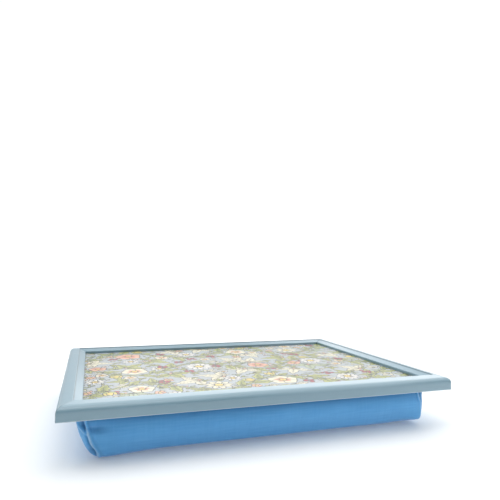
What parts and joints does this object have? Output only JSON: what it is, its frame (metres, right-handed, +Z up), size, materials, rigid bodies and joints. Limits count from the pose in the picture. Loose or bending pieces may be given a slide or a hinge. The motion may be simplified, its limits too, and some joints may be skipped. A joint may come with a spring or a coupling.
{
  "type": "lap tray",
  "caption": "Lap tray with a mitred, painted wooden rim round a printed board, fixed on a bead-filled fabric cushion.",
  "frame": {"origin": "centre of the cushion's flat base, on the surface that the tray stands on", "axes": "+X to the right along the long side, +Y to the back, +Z up through the print"},
  "size_m": [0.44, 0.33, 0.061],
  "materials": {
    "painted_wood": "satin pale blue-grey paint",
    "steel": "bright drawn wire and strip",
    "fibreboard": "bare medium-density fibreboard",
    "printed_paper": "printed decor paper under clear gloss melamine",
    "hardboard": "bare hardboard",
    "blue_cotton": "plain-woven mid-blue cotton",
    "lining": "thin unbleached lining"
  },
  "bodies": {
    "root": {"front_rail": "painted_wood", "back_rail": "painted_wood", "left_rail": "painted_wood", "right_rail": "painted_wood", "corner_v_nails": "steel", "printed_board": "fibreboard", "print_sheet": "printed_paper", "framers_points": "steel", "cushion_board": "hardboard", "cushion_cover": "blue_cotton", "cover_staples": "steel", "bead_bag": "lining", "cushion_brads": "steel"}
  },
  "joints": []
}
